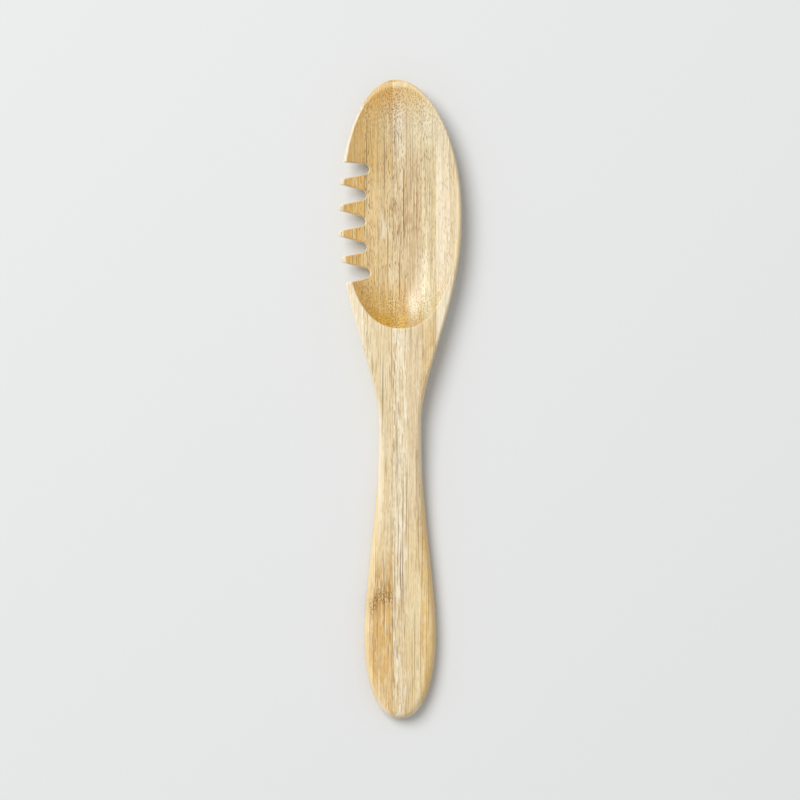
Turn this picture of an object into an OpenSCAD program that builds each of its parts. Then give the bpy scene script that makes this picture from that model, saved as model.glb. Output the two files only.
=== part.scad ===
// Bamboo serving spoon with a toothed bowl, glued up from nine bamboo strips.
// Sizes are in millimetres. +Y runs from the handle to the tip of the bowl, +Z is up and the
// teeth are on the -X side. The origin is under the middle of the spoon, where it rests.

/* [Outline] */
// From the widest line of the bowl up to its tip
tip_l = 64; // [52:1:76]
// From the neck up to the widest line of the bowl
shoulder_l = 96; // [84:1:116]
// Straight stretch of the neck
neck_l = 8; // [4:1:24]
// From the neck down to the widest line of the handle
flare_l = 92; // [76:1:116]
// Rounded end of the handle, below its widest line
end_l = 40; // [28:1:52]
// Width of the bowl
head_w = 57.8; // [54:0.2:64]
// Width of the neck
neck_w = 19.9; // [15:0.1:26]
// Width of the handle
handle_w = 33.6; // [28:0.2:40]
// How far the tip leans towards the teeth
tip_lean = 1.9; // [0:0.1:3]

/* [Thickness] */
// Thickness at the rim of the bowl
head_t = 13; // [12:0.5:16]
// Thickness of the handle
handle_t = 9.5; // [8:0.5:11]
// Height of the widest edge of the bowl above the underside
head_edge_z = 10.4; // [9:0.1:11.4]
// Height of the widest edge of the handle above the underside
handle_edge_z = 4.7; // [3.8:0.1:5.6]
// Rounding of the handle's edges, measured across
handle_round = 4.2; // [2.5:0.1:6]
// Rounding of the outer edge of the rim, measured across
rim_round = 1.3; // [0.8:0.1:2]
// Width of the flat under the bowl
keel_w = 14; // [8:1:18]
// Rise of the underside from the flat to the tip
tip_rise = 9.2; // [7:0.1:9.8]
// Length over which the underside rises to the tip
rise_l = 92; // [70:1:110]

/* [Bowl] */
// Depth of the hollow below the rim
bowl_depth = 8; // [5:0.5:9]
// Width of the rim beside the hollow
rim_w = 2.1; // [1.8:0.1:5]
// Width of the rim at the tip
tip_rim_w = 3; // [2.4:0.1:6]
// From the widest line down to the heel of the hollow
heel_l = 52.7; // [44:0.1:60]
// Level ledge between the heel of the hollow and the slope down to the handle
shoulder_ledge = 6; // [2:0.5:12]

/* [Teeth] */
// Spacing of the gaps between the teeth
gap_pitch = 12.25; // [11:0.05:13.5]
// Depth of a gap, from the edge of the bowl
gap_depth = 12.6; // [12:0.1:15]
// Radius at the root of a gap
gap_root_r = 2.5; // [1.6:0.1:2.8]
// Slope of a gap's sides, in degrees
gap_flank = 13.5; // [6:0.5:15]
// Slope of the upper side of the first gap, in degrees
first_flank = 3; // [0:0.5:13]
// Middle gap, measured up from the widest line of the bowl
gap_shift = -2.2; // [-6:0.1:3]

/* [Strips] */
// Thickness of a bamboo strip
strip_t = 6.8; // [6.2:0.05:7.2]
// Offset of the middle strip from the centre line
strip_shift = -0.1; // [-0.5:0.05:0.5]

/* [Hidden] */

// Lines across the spoon, with the middle of its length at zero
spoon_l = tip_l + shoulder_l + neck_l + flare_l + end_l;
tip_y = spoon_l / 2;
wide_y = tip_y - tip_l;
neck_top_y = wide_y - shoulder_l;
neck_y = neck_top_y - neck_l / 2;
neck_low_y = neck_top_y - neck_l;
grip_y = neck_low_y - flare_l;
end_y = -spoon_l / 2;
heel_y = wide_y - heel_l;
keel_y = tip_y - rise_l;
thick_y = heel_y - shoulder_ledge;
thin_y = neck_low_y - flare_l / 2;

// Character of the curves
shoulder_curve = [1.63, 2.37];
flare_curve = [1.86, 1.8];
end_squareness = 2.2;
dish_squareness = 2.25;
back_fullness = 1.5;
wall_steepness = 2.3;
heel_steepness = 5.5;

// Count of gaps, and of the teeth between them
gap_n = 5;
tooth_n = gap_n - 1;

// Fineness of the surfaces
across_n = 5;
station_n = 6;
station_step = 6;

// Least width of a piece at its ends, upright land along the edge, and room beyond a cut
feather = 0.12;
end_gap = 0.02;
edge_land = 0.25;
overcut = 1;
dish_over = 1.06;
reach = 6;
far = head_w + handle_w;

// Tones of the strips
honey = "#cfa764";
tan = "#d8b982";
cream = "#e6d2a6";
pale = "#efe2c0";

function limit(t) = min(max(t, 0), 1);
function smooth(t) = let (u = limit(t)) u * u * (3 - 2 * u);
function mix(a, b, t) = a + (b - a) * t;
function swell(t, curve) = 1 - pow(1 - pow(limit(t), curve[0]), curve[1]);
function quarter(t, power) = pow(1 - pow(1 - limit(t), power), 1 / power);

// Half the width of the spoon at y
function half_w(y) =
    y >= wide_y ? head_w / 2 * sqrt(max(0, 1 - pow((y - wide_y) / tip_l, 2)))
    : y >= neck_top_y ? mix(neck_w, head_w, swell((y - neck_top_y) / shoulder_l, shoulder_curve)) / 2
    : y >= neck_low_y ? neck_w / 2
    : y >= grip_y ? mix(neck_w, handle_w, swell((neck_low_y - y) / flare_l, flare_curve)) / 2
    : handle_w / 2 * pow(max(0, 1 - pow((grip_y - y) / end_l, end_squareness)), 1 / end_squareness);

// Sideways lean of the middle line towards the tip
function lean(y) = -tip_lean * pow(max(0, y - wide_y) / tip_l, 3);

// Share of the head's section at y: all of it beside the hollow, none of it in the handle
function head_share(y) = smooth((y - thin_y) / (thick_y - thin_y));

// Heights and roundings at y
function top_level(y) = mix(handle_t, head_t, head_share(y));
function edge_level(y) = mix(handle_edge_z, head_edge_z, head_share(y));
function under_level(y) = tip_rise * pow(max(0, y - keel_y) / rise_l, 2);
function top_round(y) = mix(handle_round, rim_round, head_share(y));
function under_round(y) = mix(handle_round, max(handle_round, half_w(y) - keel_w / 2), head_share(y));
function under_power(y) = mix(2, back_fullness, head_share(y));

// Rounding over both ends of the spoon
function end_fade(y) = quarter((y - end_y) / handle_round, 2) * quarter((tip_y - y) / rim_round, 2);

// Distance in from the edge, and the two faces of the spoon before it is hollowed
function inset(x, y) = half_w(y) - abs(x - lean(y));
function top_z(x, y) =
    let (low = edge_level(y) + edge_land)
    mix(low, top_level(y), quarter(inset(x, y) / top_round(y), 2) * end_fade(y));
function under_z(x, y) =
    let (high = edge_level(y) - edge_land)
    mix(high, under_level(y), quarter(inset(x, y) / under_round(y), under_power(y)) * end_fade(y));

// Glue line k, counted from the left, and the strips between the lines
function glue_x(k) = strip_shift + (k - 4.5) * strip_t;
function strip_span(k) = [k == 1 ? -far : glue_x(k - 1), k == 9 ? far : glue_x(k)];

// Where a margin that depends on y runs out, searched from a y inside it to a y beyond it
function crossing(margin, y_in, y_out, steps = 30) =
    let (y = (y_in + y_out) / 2)
    steps == 0 ? y_in
    : margin(y) > 0 ? crossing(margin, y, y_out, steps - 1)
    : crossing(margin, y_in, y, steps - 1);

// Side of a strip that faces the centre line, moved out to where the strip starts to have width
function inner_x(span) = span[0] > 0 ? span[0] + feather : span[1] < 0 ? span[1] - feather : 0;

// Ends of a strip on the outline: above the bowl, at the neck and at the handle's end
function strip_end(span, y_in, y_out) = crossing(function (y) inset(inner_x(span), y), y_in, y_out);
function head_top(span) = strip_end(span, wide_y, tip_y) - end_gap;
function head_foot(span) = strip_end(span, wide_y, neck_y);
function grip_top(span) = strip_end(span, grip_y, neck_y);
function grip_foot(span) = strip_end(span, grip_y, end_y) + end_gap;

// Middle of gap k, counted from the top, and how deep it reaches
function gap_y(k) = wide_y + gap_shift + ((gap_n + 1) / 2 - k) * gap_pitch;
function gap_root_x(k) = lean(gap_y(k)) - half_w(gap_y(k)) + gap_depth;

// Lines across a piece, closer together towards its ends
function stations(low, high) =
    let (n = max(station_n, ceil((high - low) / station_step)))
    [for (i = [0:n]) mix(low, high, (1 - cos(180 * i / n)) / 2)];

// Places across a section, closer together towards its sides
function across(left, right) = [for (i = [0:across_n]) mix(left, right, (1 - cos(180 * i / across_n)) / 2)];

// Section of the spoon at y between two glue lines: along the underside and back over the top
function board_section(span, y) =
    let (xs = across(max(span[0], lean(y) - half_w(y)), min(span[1], lean(y) + half_w(y))))
    concat(
        [for (x = xs) [x, y, under_z(x, y)]],
        [for (i = [across_n:-1:0]) [xs[i], y, top_z(xs[i], y)]]
    );

// Solid through a row of sections, each a run of points below and the same run back above
module loft(sections) {
    size = len(sections[0]);
    last = (len(sections) - 1) * size;
    sides = [
        for (j = [0:len(sections) - 2], i = [0:size - 1])
        let (a = j * size + i, b = j * size + (i + 1) % size)
        each [[a, b, b + size], [a, b + size, a + size]]
    ];
    ends = [
        for (i = [0:size / 2 - 2])
        let (a = size - 1 - i, b = size - 2 - i)
        each [[i, a, b], [i, b, i + 1], [last + i, last + i + 1, last + b], [last + i, last + b, last + a]]
    ];
    polyhedron([for (ring = sections) each ring], concat(sides, ends));
}

// Strip of the shaped board between two lines across it, before it is hollowed
module shaped_strip(span, low, high) loft([for (y = stations(low, high)) board_section(span, y)]);

// Size of the hollow at y: its half length, how far along it y lies, and its half width
function dish_l(y) = y < wide_y ? heel_l : tip_l - tip_rim_w;
function dish_along(y) = pow(abs(y - wide_y) / dish_l(y), dish_squareness);
function dish_half_w(y) =
    (head_w / 2 - rim_w) * pow(max(0, pow(dish_over, dish_squareness) - dish_along(y)), 1 / dish_squareness);

// Surface of the hollow: it rises from its floor as a power of the share of the way to its edge,
// gently at the sides and the tip and steeply at the heel
function dish_z(x, y) =
    let (
        out = pow(abs(x - lean(y)) / (head_w / 2 - rim_w), dish_squareness) + dish_along(y),
        to_heel = y < wide_y ? dish_along(y) / out : 0,
        steep = mix(wall_steepness, heel_steepness, to_heel)
    )
    head_t - bowl_depth * (1 - pow(out, steep / dish_squareness));

// Section of the wood that is carved away at y
function dish_section(span, y) =
    let (xs = across(max(span[0], lean(y) - dish_half_w(y)), min(span[1], lean(y) + dish_half_w(y))))
    concat(
        [for (x = xs) [x, y, dish_z(x, y)]],
        [for (i = [across_n:-1:0]) [xs[i], y, head_t + reach]]
    );

// Wood carved out of one strip between two lines across it
module carved_out(strip, y_low, y_high) {
    span = [strip[0] - overcut, strip[1] + overcut];
    margin = function (y) dish_half_w(y) - abs(inner_x(span) - lean(y));
    low = max(y_low - overcut, crossing(margin, wide_y, wide_y - dish_over * heel_l));
    high = min(y_high + overcut, crossing(margin, wide_y, wide_y + dish_over * (tip_l - tip_rim_w)));
    if (low < high) loft([for (y = stations(low, high)) dish_section(span, y)]);
}

// Gap k between the teeth: a round root with two sides that open towards the edge
module tooth_gap(k) {
    rise = k == 1 ? first_flank : gap_flank;
    mouth = gap_depth + reach;
    upper = [gap_root_r * sin(rise), gap_root_r * cos(rise)];
    lower = [gap_root_r * sin(gap_flank), -gap_root_r * cos(gap_flank)];
    translate([gap_root_x(k) - gap_root_r, gap_y(k), -reach])
        linear_extrude(head_t + 2 * reach) {
            circle(gap_root_r, $fn = 48);
            polygon([
                upper,
                upper + mouth * [-cos(rise), sin(rise)],
                lower + mouth * [-cos(gap_flank), -sin(gap_flank)],
                lower
            ]);
        }
}

// Strip k between two lines across it, hollowed, with the gaps that meet it cut
module hollowed_strip(k, low, high, gaps = []) {
    difference() {
        shaped_strip(strip_span(k), low, high);
        carved_out(strip_span(k), low, high);
        for (g = gaps) tooth_gap(g);
    }
}

// Pieces of the two outer strips on the left: above the gaps, between them and below them
module upper_piece(k) hollowed_strip(k, gap_y(1), head_top(strip_span(k)), [1]);
module tooth_piece(k, tooth) hollowed_strip(k, gap_y(tooth + 1), gap_y(tooth), [tooth, tooth + 1]);
module lower_piece(k) hollowed_strip(k, head_foot(strip_span(k)), gap_y(gap_n), [gap_n]);

// Strips that stop at the neck, in the head and in the handle, and strips that run right through
module head_strip(k, gaps = []) hollowed_strip(k, head_foot(strip_span(k)), head_top(strip_span(k)), gaps);
module grip_strip(span) shaped_strip(span, grip_foot(span), grip_top(span));
module long_strip(k) hollowed_strip(k, grip_foot(strip_span(k)), head_top(strip_span(k)));

module left_rim_strip_upper() color(honey) upper_piece(1);
module tooth_tip(tooth) color(honey) tooth_piece(1, tooth);
module left_rim_strip_lower() color(honey) lower_piece(1);
module left_wall_strip_upper() color(tan) upper_piece(2);
module tooth_root(tooth) color(tan) tooth_piece(2, tooth);
module left_wall_strip_lower() color(tan) lower_piece(2);
module left_floor_strip() color(honey) head_strip(3, [1:gap_n]);
module left_grip_strip() color(honey) grip_strip([-far, glue_x(3)]);
module left_core_strip() color(tan) long_strip(4);
module centre_strip() color(pale) long_strip(5);
module right_core_strip() color(cream) long_strip(6);
module right_floor_strip() color(cream) head_strip(7);
module right_grip_strip() color(cream) grip_strip([glue_x(6), far]);
module right_wall_strip() color(pale) head_strip(8);
module right_rim_strip() color(pale) head_strip(9);

left_rim_strip_upper();
for (k = [1:tooth_n]) {
    tooth_tip(k);
    tooth_root(k);
}
left_rim_strip_lower();
left_wall_strip_upper();
left_wall_strip_lower();
left_floor_strip();
left_grip_strip();
left_core_strip();
centre_strip();
right_core_strip();
right_floor_strip();
right_grip_strip();
right_wall_strip();
right_rim_strip();
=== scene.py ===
"""Laminated bamboo serving spoon with a toothed bowl: its meshes, its finishes and a plain studio.

Lengths are in metres, in the frame that the solids are modelled in: +Y runs from the handle to the
tip of the bowl, +Z is up and the teeth are on the -X side. Patterns of the grain are in millimetres.
"""

import logging
import math
from collections.abc import Callable, Iterable
from dataclasses import dataclass, field
from enum import Enum
from functools import cached_property

import bmesh
import bpy
import numpy as np
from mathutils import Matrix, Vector


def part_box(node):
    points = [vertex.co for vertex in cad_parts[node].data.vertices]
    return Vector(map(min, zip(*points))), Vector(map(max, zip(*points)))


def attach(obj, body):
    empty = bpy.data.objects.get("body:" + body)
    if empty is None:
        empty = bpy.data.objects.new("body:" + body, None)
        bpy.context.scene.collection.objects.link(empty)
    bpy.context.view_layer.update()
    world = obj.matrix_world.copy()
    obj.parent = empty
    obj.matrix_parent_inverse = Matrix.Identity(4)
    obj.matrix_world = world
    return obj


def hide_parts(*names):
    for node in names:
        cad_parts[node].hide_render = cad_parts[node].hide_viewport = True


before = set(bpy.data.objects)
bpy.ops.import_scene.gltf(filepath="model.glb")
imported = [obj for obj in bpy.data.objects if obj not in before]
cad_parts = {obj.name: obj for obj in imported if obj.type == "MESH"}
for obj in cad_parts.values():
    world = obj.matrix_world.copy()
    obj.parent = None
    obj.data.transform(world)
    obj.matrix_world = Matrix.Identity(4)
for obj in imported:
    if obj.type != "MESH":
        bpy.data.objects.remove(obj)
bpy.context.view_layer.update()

MM = 0.001
BODY = "root"
CIRCLE_POWER = 2.0
TINY = 1e-9
NOISE_MIDDLE = 0.5
WHITE = (1.0, 1.0, 1.0, 1.0)

# The curve that turns screen values into linear ones
SCREEN_FULL = 255
SCREEN_KNEE = 0.04045
SCREEN_TOE = 12.92
SCREEN_OFFSET = 0.055
SCREEN_POWER = 2.4

# Sockets of the mix node that belong to colours
MIX_SHARE = 0
MIX_FIRST = 6
MIX_SECOND = 7
MIX_RESULT = 2

Array = np.ndarray
Curve = Callable[[Array], Array]
Span = tuple[float, float]
Triple = tuple[float, float, float]
Tone = tuple[float, float, float, float]
Socket = bpy.types.NodeSocket
LOG = logging.getLogger("spoon")


def limit(share: Array) -> Array:
    """Keeps a share between nothing and all."""
    return np.clip(share, 0.0, 1.0)


def smooth(share: Array) -> Array:
    """Turns a straight rise into one that starts and ends gently."""
    held = limit(share)
    return held * held * (3 - 2 * held)


def mix(start: Array, end: Array, share: Array) -> Array:
    """Value that lies the given share of the way between two."""
    return start + (end - start) * share


def swell(share: Array, curve: Span) -> Array:
    """Rise of a shoulder, hollow at its start and full at its end, as its two powers say."""
    return 1 - (1 - limit(share) ** curve[0]) ** curve[1]


def quarter(share: Array, power: Array = CIRCLE_POWER) -> Array:
    """Rise over a rounded edge, upright at its start and level at its end."""
    return (1 - (1 - limit(share)) ** power) ** (1 / power)


def soft_least(first: Array, second: Array, ease: float) -> Array:
    """Lower of two surfaces, with the edge eased where they differ by less than the given height."""
    near = np.maximum(ease - np.abs(first - second), 0) / ease
    return np.minimum(first, second) - near * near * ease / 4


def spacing(
    length: float, step: Curve, fine: float = 0.04 * MM, growth: float = 0.28, samples: int = 4000
) -> Array:
    """Places the lines of a mesh along a length, closer together towards both ends.

    Args:
        length: Length to divide.
        step: Widest step as a function of the distance along the length.
        fine: Step at the very ends.
        growth: How fast the step widens away from an end.
        samples: How many places the step is worked out at.

    Returns:
        Shares of the length, from 0 to 1.
    """
    at = np.linspace(0, length, samples)
    local = np.minimum(step(at), fine + growth * np.minimum(at, length - at))
    per_step = 1 / local
    passed = np.concatenate(([0.0], np.cumsum((per_step[1:] + per_step[:-1]) / 2 * np.diff(at))))
    return np.interp(np.linspace(0, passed[-1], math.ceil(passed[-1]) + 1), passed, at) / length


def linear(code: str) -> Tone:
    """Turns a colour written as on screen into the linear values that the shaders use.

    Args:
        code: Red, green and blue as six hexadecimal digits after a hash.

    Returns:
        Linear red, green and blue, and full opacity.
    """
    shares = [int(code[i:i + 2], 16) / SCREEN_FULL for i in range(1, len(code), 2)]
    red, green, blue = (
        share / SCREEN_TOE
        if share <= SCREEN_KNEE
        else ((share + SCREEN_OFFSET) / (1 + SCREEN_OFFSET)) ** SCREEN_POWER
        for share in shares
    )
    return red, green, blue, 1.0


@dataclass(frozen=True)
class ToothGap:
    """Gap sawn between two teeth: a round root and two straight sides that open outwards."""

    centre_x: float
    centre_y: float
    radius: float
    upper_slope: float
    lower_slope: float

    def _side(self, x: Array, slope: float) -> Array:
        """Half opening of the gap on one side.

        Args:
            x: Places across the spoon.
            slope: Angle of the side.

        Returns:
            Distances of the side from the gap's middle line.
        """
        out = x - self.centre_x
        arc = np.sqrt(np.maximum(self.radius**2 - out**2, 0))
        straight = (self.radius - out * math.sin(slope)) / math.cos(slope)
        return np.where(out > self.radius * math.sin(slope), arc, straight)

    def upper_side(self, x: Array) -> Array:
        """Height in plan of the gap's upper side at x."""
        return self.centre_y + self._side(x, self.upper_slope)

    def lower_side(self, x: Array) -> Array:
        """Height in plan of the gap's lower side at x."""
        return self.centre_y - self._side(x, self.lower_slope)

    def bite(self, y: Array) -> Array:
        """How far to the right the gap reaches.

        Args:
            y: Places along the spoon.

        Returns:
            Places across the spoon at which the wood starts.
        """
        off = np.abs(y - self.centre_y)
        slope = np.where(y > self.centre_y, self.upper_slope, self.lower_slope)
        arc = np.sqrt(np.maximum(self.radius**2 - off**2, 0))
        straight = (self.radius - off * np.cos(slope)) / np.sin(slope)
        return self.centre_x + np.where(off < self.radius * np.cos(slope), arc, straight)

    def distance(self, x: Array, y: Array) -> Array:
        """Distance of points in the wood from the gap.

        Args:
            x: Places across the spoon.
            y: Places along the spoon.

        Returns:
            Distances from the gap's edge.
        """
        off_x = x - self.centre_x
        off_y = y - self.centre_y
        angle = np.arctan2(off_y, off_x)
        nearest = np.clip(angle, self.lower_slope - math.pi / 2, math.pi / 2 - self.upper_slope)
        return np.hypot(off_x, off_y) * np.cos(angle - nearest) - self.radius


@dataclass(frozen=True)
class SpoonShape:
    """Outline and surfaces of the whole spoon, from which every strip is cut."""

    tip_length: float = 64 * MM
    shoulder_length: float = 96 * MM
    neck_length: float = 8 * MM
    flare_length: float = 92 * MM
    end_length: float = 40 * MM
    head_width: float = 57.8 * MM
    neck_width: float = 19.9 * MM
    handle_width: float = 33.6 * MM
    tip_lean: float = 1.9 * MM
    lean_power: int = 3
    head_height: float = 13 * MM
    handle_height: float = 9.5 * MM
    head_edge: float = 10.4 * MM
    handle_edge: float = 4.7 * MM
    edge_land: float = 0.25 * MM
    handle_round: float = 4.2 * MM
    rim_round: float = 1.3 * MM
    keel_width: float = 14 * MM
    tip_rise: float = 9.2 * MM
    rise_length: float = 92 * MM
    bowl_depth: float = 8 * MM
    rim_width: float = 2.1 * MM
    tip_rim_width: float = 3 * MM
    heel_length: float = 52.7 * MM
    shoulder_ledge: float = 6 * MM
    gap_count: int = 5
    gap_pitch: float = 12.25 * MM
    gap_depth: float = 12.6 * MM
    gap_root_radius: float = 2.5 * MM
    gap_slope: float = math.radians(13.5)
    first_slope: float = math.radians(3)
    gap_shift: float = -2.2 * MM
    gap_arris: float = 0.7 * MM
    arris_share: float = 0.45
    gap_wear: float = 2.0
    torn_depth: float = 0.1 * MM
    torn_pitches: Span = (0.31 * MM, 0.83 * MM)
    torn_offset: float = 2.0
    torn_length: float = 0.9 * MM
    torn_slant: float = 2 * MM
    lip_ease: float = 0.32 * MM
    lip_waver: float = 0.006
    lip_waves: tuple[Span, ...] = ((5, 0), (11, 1))
    carved_fade: float = 0.34 * MM
    shoulder_curve: Span = (1.63, 2.37)
    flare_curve: Span = (1.86, 1.8)
    end_squareness: float = 2.2
    hollow_squareness: float = 2.25
    back_fullness: float = 1.5
    wall_steepness: float = 2.3
    heel_steepness: float = 5.5
    outline_passes: int = 12

    @cached_property
    def tip_y(self) -> float:
        """Tip of the bowl, half the spoon's length from the origin."""
        head = self.tip_length + self.shoulder_length
        return (head + self.neck_length + self.flare_length + self.end_length) / 2

    @cached_property
    def wide_y(self) -> float:
        """Widest line of the bowl."""
        return self.tip_y - self.tip_length

    @cached_property
    def neck_top_y(self) -> float:
        """Top of the neck's straight stretch."""
        return self.wide_y - self.shoulder_length

    @cached_property
    def neck_low_y(self) -> float:
        """Bottom of the neck's straight stretch."""
        return self.neck_top_y - self.neck_length

    @cached_property
    def grip_y(self) -> float:
        """Widest line of the handle."""
        return self.neck_low_y - self.flare_length

    @cached_property
    def heel_y(self) -> float:
        """Lower end of the hollow."""
        return self.wide_y - self.heel_length

    @cached_property
    def gaps(self) -> list[ToothGap]:
        """Gaps between the teeth.

        Returns:
            The gaps from the top down.
        """
        made = []
        for place in range(self.gap_count):
            middle = self.wide_y + self.gap_shift + ((self.gap_count - 1) / 2 - place) * self.gap_pitch
            root = float(self.left_edge(np.array(middle))) + self.gap_depth
            upper = self.first_slope if place == 0 else self.gap_slope
            made.append(
                ToothGap(root - self.gap_root_radius, middle, self.gap_root_radius, upper, self.gap_slope)
            )
        return made

    def half_width(self, y: Array) -> Array:
        """Half the width of the spoon.

        Args:
            y: Places along the spoon.

        Returns:
            Distances of the outline from the middle line.
        """
        shoulder = swell((y - self.neck_top_y) / self.shoulder_length, self.shoulder_curve)
        flare = swell((self.neck_low_y - y) / self.flare_length, self.flare_curve)
        tip = np.sqrt(1 - limit((y - self.wide_y) / self.tip_length) ** 2)
        end = 1 - limit((self.grip_y - y) / self.end_length) ** self.end_squareness
        zones = [y >= self.wide_y, y >= self.neck_top_y, y >= self.neck_low_y, y >= self.grip_y]
        widths = [
            self.head_width * tip,
            mix(self.neck_width, self.head_width, shoulder),
            np.full_like(y, self.neck_width),
            mix(self.neck_width, self.handle_width, flare),
        ]
        return np.select(zones, widths, self.handle_width * end ** (1 / self.end_squareness)) / 2

    def lean(self, y: Array) -> Array:
        """Sideways lean of the middle line towards the tip."""
        return -self.tip_lean * (np.maximum(0, y - self.wide_y) / self.tip_length) ** self.lean_power

    def left_edge(self, y: Array) -> Array:
        """Left outline at y."""
        return self.lean(y) - self.half_width(y)

    def right_edge(self, y: Array) -> Array:
        """Right outline at y."""
        return self.lean(y) + self.half_width(y)

    def tip_edge(self, x: Array) -> Array:
        """Upper outline, found in a few passes because the tip leans.

        Args:
            x: Places across the spoon.

        Returns:
            Places along the spoon.
        """
        y = np.full_like(x, self.wide_y)
        for _ in range(self.outline_passes):
            out = limit(np.abs(x - self.lean(y)) / (self.head_width / 2))
            y = self.wide_y + self.tip_length * np.sqrt(1 - out**2)
        return y

    def end_edge(self, x: Array) -> Array:
        """Lower outline at x."""
        out = limit(np.abs(x) / (self.handle_width / 2)) ** self.end_squareness
        return self.grip_y - self.end_length * (1 - out) ** (1 / self.end_squareness)

    def head_share(self, y: Array) -> Array:
        """Share of the bowl's section: all of it beside the hollow, none of it in the handle.

        Args:
            y: Places along the spoon.

        Returns:
            Shares from 0 to 1.
        """
        thick = self.heel_y - self.shoulder_ledge
        thin = self.neck_low_y - self.flare_length / 2
        return smooth((y - thin) / (thick - thin))

    def inset(self, x: Array, y: Array) -> Array:
        """Distance in from the outline, measured across the spoon."""
        return self.half_width(y) - np.abs(x - self.lean(y))

    def end_fade(self, y: Array) -> Array:
        """Rounding over both ends of the spoon."""
        return quarter((y + self.tip_y) / self.handle_round) * quarter((self.tip_y - y) / self.rim_round)

    def board_top(self, x: Array, y: Array) -> Array:
        """Upper face of the shaped board before it is hollowed.

        Args:
            x: Places across the spoon.
            y: Places along the spoon.

        Returns:
            Heights of the face.
        """
        share = self.head_share(y)
        low = mix(self.handle_edge, self.head_edge, share) + self.edge_land
        level = mix(self.handle_height, self.head_height, share)
        reach = mix(self.handle_round, self.rim_round, share)
        return mix(low, level, quarter(self.inset(x, y) / reach) * self.end_fade(y))

    def board_back(self, x: Array, y: Array) -> Array:
        """Underside of the shaped board, which rises to the tip.

        Args:
            x: Places across the spoon.
            y: Places along the spoon.

        Returns:
            Heights of the face.
        """
        share = self.head_share(y)
        high = mix(self.handle_edge, self.head_edge, share) - self.edge_land
        keel_y = self.tip_y - self.rise_length
        level = self.tip_rise * (np.maximum(0, y - keel_y) / self.rise_length) ** 2
        full = np.maximum(self.handle_round, self.half_width(y) - self.keel_width / 2)
        reach = mix(self.handle_round, full, share)
        power = mix(CIRCLE_POWER, self.back_fullness, share)
        return mix(high, level, quarter(self.inset(x, y) / reach, power) * self.end_fade(y))

    def hollow(self, x: Array, y: Array) -> Array:
        """Surface of the bowl's hollow, gentle at the sides and the tip and steep at the heel.

        Args:
            x: Places across the spoon.
            y: Places along the spoon.

        Returns:
            Heights of the surface, which lies above the board outside the hollow's lip.
        """
        below = y < self.wide_y
        power = self.hollow_squareness
        length = np.where(below, self.heel_length, self.tip_length - self.tip_rim_width)
        along = (np.abs(y - self.wide_y) / length) ** power
        out = (np.abs(x - self.lean(y)) / (self.head_width / 2 - self.rim_width)) ** power + along
        turn = np.arctan2(y - self.wide_y, x)
        waves = sum(np.sin(count * turn + phase) for count, phase in self.lip_waves)
        out = out * (1 + self.lip_waver * waves)
        to_heel = np.where(below, along / np.maximum(out, TINY), 0)
        steep = mix(self.wall_steepness, self.heel_steepness, to_heel)
        return self.head_height - self.bowl_depth * (1 - out ** (steep / power))

    def gap_distance(self, x: Array, y: Array) -> Array:
        """Distance from the nearest gap, with the torn fibres of its sawn edge.

        Args:
            x: Places across the spoon.
            y: Places along the spoon.

        Returns:
            Distances from the edge.
        """
        fine, coarse = self.torn_pitches
        torn = np.sin(x / fine) * np.sin(x / coarse + self.torn_offset)
        torn = torn * np.sin(y / self.torn_length + x / self.torn_slant)
        nearest = np.minimum.reduce([gap.distance(x, y) for gap in self.gaps])
        return nearest + self.torn_depth * torn

    def faces(self, x: Array, y: Array) -> tuple[Array, Array]:
        """Heights of the underside and the upper face, hollowed and with the gaps' edges eased.

        Args:
            x: Places across the spoon.
            y: Places along the spoon.

        Returns:
            Heights of the underside and of the upper face.
        """
        back = self.board_back(x, y)
        top = soft_least(self.board_top(x, y), self.hollow(x, y), self.lip_ease)
        away = 1 - quarter(self.gap_distance(x, y) / self.gap_arris)
        eased = away * np.minimum(self.gap_arris, self.arris_share * (top - back))
        return back + eased, top - eased

    def hollow_share(self, x: Array, y: Array) -> Array:
        """How surely a point lies in the hollow, from none on the rim to all a little way down."""
        return smooth((self.board_top(x, y) - self.hollow(x, y)) / self.carved_fade)

    def arris(self, x: Array, y: Array) -> Array:
        """How near points are to an outer edge, which handling polishes and whose tone is painted light.

        Args:
            x: Places across the spoon.
            y: Places along the spoon.

        Returns:
            Shares from 0 away from the edges to 1 on them.
        """
        reach = mix(self.handle_round, self.rim_round, self.head_share(y))
        nearest = np.minimum(self.inset(x, y), self.gap_wear * self.gap_distance(x, y))
        return 1 - smooth(nearest / reach)


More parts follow.
